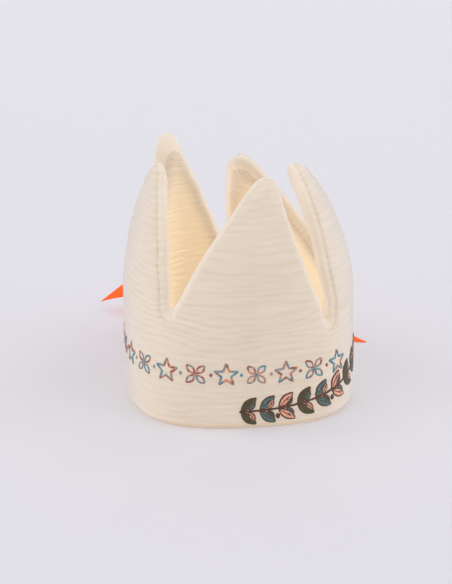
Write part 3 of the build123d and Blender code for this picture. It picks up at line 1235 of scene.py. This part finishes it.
def thread_material(name, stops):
    """Shiny cotton thread whose colour follows each strand's tone."""
    made, tree, shader = material(name, {"Roughness": 0.5, "Specular IOR Level": 0.35, "Sheen Weight": 0.2})
    colour = add_node(tree, "ValToRGB", "Color", {"Fac": attribute(tree, "tone")})
    elements = colour.node.color_ramp.elements
    elements[0].color = stops[0]
    elements[1].color = stops[-1]
    for number in range(1, len(stops) - 1):
        elements.new(number / (len(stops) - 1)).color = stops[number]
    twist = ribs(tree, "DIAGONAL", {"Vector": cloth_uv(tree), "Scale": 900.0})
    normal = relief(tree, twist, strength=0.4, distance=0.0001)
    set_inputs(tree, shader, {"Base Color": colour, "Normal": normal})
    return made


def satin(name, colour):
    """Satin ribbon: a soft gloss, with fine ribs across its length."""
    looks = {"Base Color": colour, "Roughness": 0.42, "Specular IOR Level": 0.15}
    made, tree, shader = material(name, looks)
    fine = ribs(tree, "X", {"Vector": cloth_uv(tree), "Scale": 420.0, "Distortion": 0.6})
    set_inputs(tree, shader, {"Normal": relief(tree, fine, strength=0.25, distance=0.0001)})
    return made


def fleece(name, light, dark):
    """Soft white filling: matted fibres with small clumps."""
    made, tree, shader = material(name, {"Roughness": 0.95, "Sheen Weight": 0.4})
    where = add_node(tree, "TexCoord", "Object", {})
    clumps = add_node(tree, "TexNoise", "Fac", {"Vector": where, "Scale": 260.0, "Detail": 6.0})
    normal = relief(tree, clumps, strength=0.6, distance=0.001)
    set_inputs(tree, shader, {"Base Color": blend(tree, clumps, dark, light), "Normal": normal})
    return made


def dressed(piece, node, made):
    """Gives a piece its material and hides the part of the model that it takes the place of."""
    piece.data.materials.append(made)
    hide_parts(node)


# The padded cloth
crown_points, crown_edges = crown_layout()
outer_piece, lining_piece = build_cloth(crown_points, crown_edges)
fleece_piece = build_fleece(crown_points, crown_edges)
# Cream colours: the dark ones are painted shade in creases, the groove and under the foot, mixed with random
# blotches of the cloth; the warm one is painted warm bounce light inside the lining
cream_light = linear(230, 216, 197)
cream_dark = linear(212, 195, 172)
lining_dark = linear(194, 170, 138)
painted_bounce_cream = linear(245, 226, 194)
outer_muslin = muslin("outer_muslin", cream_light, cream_dark, cream_light)
lining_muslin = muslin("lining_muslin", cream_light, lining_dark, painted_bounce_cream)
white_fleece = fleece("fleece", linear(246, 244, 239), linear(226, 223, 216))
dressed(outer_piece, "outer_panel", outer_muslin)
dressed(lining_piece, "lining_panel", lining_muslin)
dressed(fleece_piece, "fleece_filling", white_fleece)

# The embroidery: the sprig's threads, each with its node and two shades, and the border's thread
sprig_looks = {
    "brown": ("brown_stem_thread", linear(66, 34, 20), linear(92, 52, 32)),
    "green": ("green_leaf_thread", linear(50, 58, 26), linear(70, 78, 38)),
    "teal": ("teal_leaf_thread", linear(52, 92, 90), linear(80, 122, 116)),
    "pink": ("pink_leaf_thread", linear(216, 148, 122), linear(234, 172, 146)),
}
for thread_colour, stitches in build_sprig().items():
    sprig_node, *sprig_shades = sprig_looks[thread_colour]
    sprig_piece = stitches.piece(thread_colour + "_sprig_stitches")
    made_thread = thread_material(thread_colour + "_thread", sprig_shades)
    dressed(sprig_piece, sprig_node, made_thread)
border_colours = ((82, 118, 140), (100, 150, 148), (140, 132, 142), (206, 136, 100), (142, 84, 74))
border_shades = [linear(*border_colour) for border_colour in border_colours]
border_piece = build_border().piece("border_stitches")
dressed(border_piece, "border_thread", thread_material("border_thread", border_shades))

# The tie ribbons
satin_orange = satin("satin_ribbon", linear(252, 94, 0))
for ribbon_name, ribbon_side, ribbon_tail in (("left", -1, left_tail), ("right", 1, right_tail)):
    ribbon_piece = build_ribbon(ribbon_name + "_satin_ribbon", ribbon_side, ribbon_tail)
    dressed(ribbon_piece, ribbon_name + "_tie_ribbon", satin_orange)

# Lamps: where each shines from, its power, its colour and whether it casts shadows
cool_light = linear(239, 245, 255)[:3]
warm_light = linear(255, 249, 240)[:3]
lamp_angle = 75.0
lamps = {
    "right_sun": ((0.86, -0.15, 0.46), 1.95, cool_light, False),
    "left_sun": ((-0.86, -0.15, 0.46), 1.7, cool_light, False),
    "front_sun": ((0.4, -0.75, 0.52), 0.26, warm_light, False),
    "low_sun": ((-0.45, -0.85, 0.28), 0.24, warm_light, False),
    "back_sun": ((0.15, 0.85, 0.3), 0.8, cool_light, False),
    "bounce_sun": ((-0.3, -0.3, -0.9), 1.25, warm_light, False),
    "top_sun": ((-0.15, -0.25, 0.96), 0.42, warm_light, True),
}

# World and floor: colour and strength of the light from all round, the pale backdrop, and the floor
world_colour = linear(246, 244, 248)
world_strength = 0.42
backdrop_colour = linear(225, 222, 230)
floor_colour = linear(212, 209, 211)
floor_roughness = 0.9
floor_reach = 30.0

# The photograph's viewpoint, in metres and degrees, with its focal length and shift in pixels
view_azimuth = -7.0
view_elevation = 19.0
view_distance = 0.85
view_target = Vector((0.0, 0.0, 0.06))
photo_height = 584.0
focal_pixels = 1196.5
right_shift = 11.8
up_shift = 12.4
sensor_width = 36.0


def world_setup():
    """Pale light from all round, and a paler backdrop where the world itself is seen."""
    world = bpy.data.worlds.new("pale_room")
    world.use_nodes = True
    bpy.context.scene.world = world
    tree = world.node_tree
    light = tree.nodes["Background"]
    set_inputs(tree, light, {"Color": world_colour, "Strength": world_strength})
    backdrop = add_node(tree, "Background", "Background", {"Color": backdrop_colour})
    rays = tree.nodes.new("ShaderNodeLightPath")
    seen = rays.outputs["Is Camera Ray"]
    for kind in ("Is Glossy Ray", "Is Transmission Ray"):
        seen = add_node(tree, "Math", "Value", {0: seen, 1: rays.outputs[kind]}, operation="MAXIMUM")
    choice = {"Fac": seen, 1: light.outputs["Background"], 2: backdrop}
    surface = add_node(tree, "MixShader", "Shader", choice)
    set_inputs(tree, tree.nodes["World Output"], {"Surface": surface})


def lamp_setup():
    """Soft suns from all round, as if light came through the thin cloth. Only the top one casts shadows."""
    for name, (place, power, colour, shadows) in lamps.items():
        lamp = bpy.data.lights.new(name, "SUN")
        lamp.angle = radians(lamp_angle)
        lamp.energy = power
        lamp.color = colour
        lamp.use_shadow = shadows
        holder = bpy.data.objects.new(name, lamp)
        holder.location = place
        holder.rotation_euler = (-holder.location).to_track_quat("-Z", "Y").to_euler()
        bpy.context.scene.collection.objects.link(holder)


def floor_setup():
    """A wide pale floor."""
    corners = [(x * floor_reach, y * floor_reach, 0) for x, y in ((-1, -1), (1, -1), (1, 1), (-1, 1))]
    mesh = bpy.data.meshes.new("floor")
    mesh.from_pydata(corners, [], [(0, 1, 2, 3)])
    looks = {"Base Color": floor_colour, "Roughness": floor_roughness}
    mesh.materials.append(material("floor_paper", looks)[0])
    floor = bpy.data.objects.new("floor", mesh)
    bpy.context.scene.collection.objects.link(floor)


def camera_setup():
    """A camera at the photograph's viewpoint."""
    azimuth = radians(view_azimuth)
    elevation = radians(view_elevation)
    back = Vector((sin(azimuth) * cos(elevation), -cos(azimuth) * cos(elevation), sin(elevation)))
    right = Vector((cos(azimuth), sin(azimuth), 0.0))
    up = back.cross(right)
    data = bpy.data.cameras.new("camera")
    data.sensor_width = sensor_width
    data.lens = focal_pixels * sensor_width / photo_height
    camera = bpy.data.objects.new("camera", data)
    camera.location = view_target + back * view_distance
    shift = up * up_shift - right * right_shift
    aim = view_target + shift * (view_distance / focal_pixels)
    camera.rotation_euler = (aim - camera.location).to_track_quat("-Z", "Y").to_euler()
    bpy.context.scene.collection.objects.link(camera)
    bpy.context.scene.camera = camera


world_setup()
lamp_setup()
floor_setup()
camera_setup()
bpy.context.scene.view_settings.view_transform = "Standard"
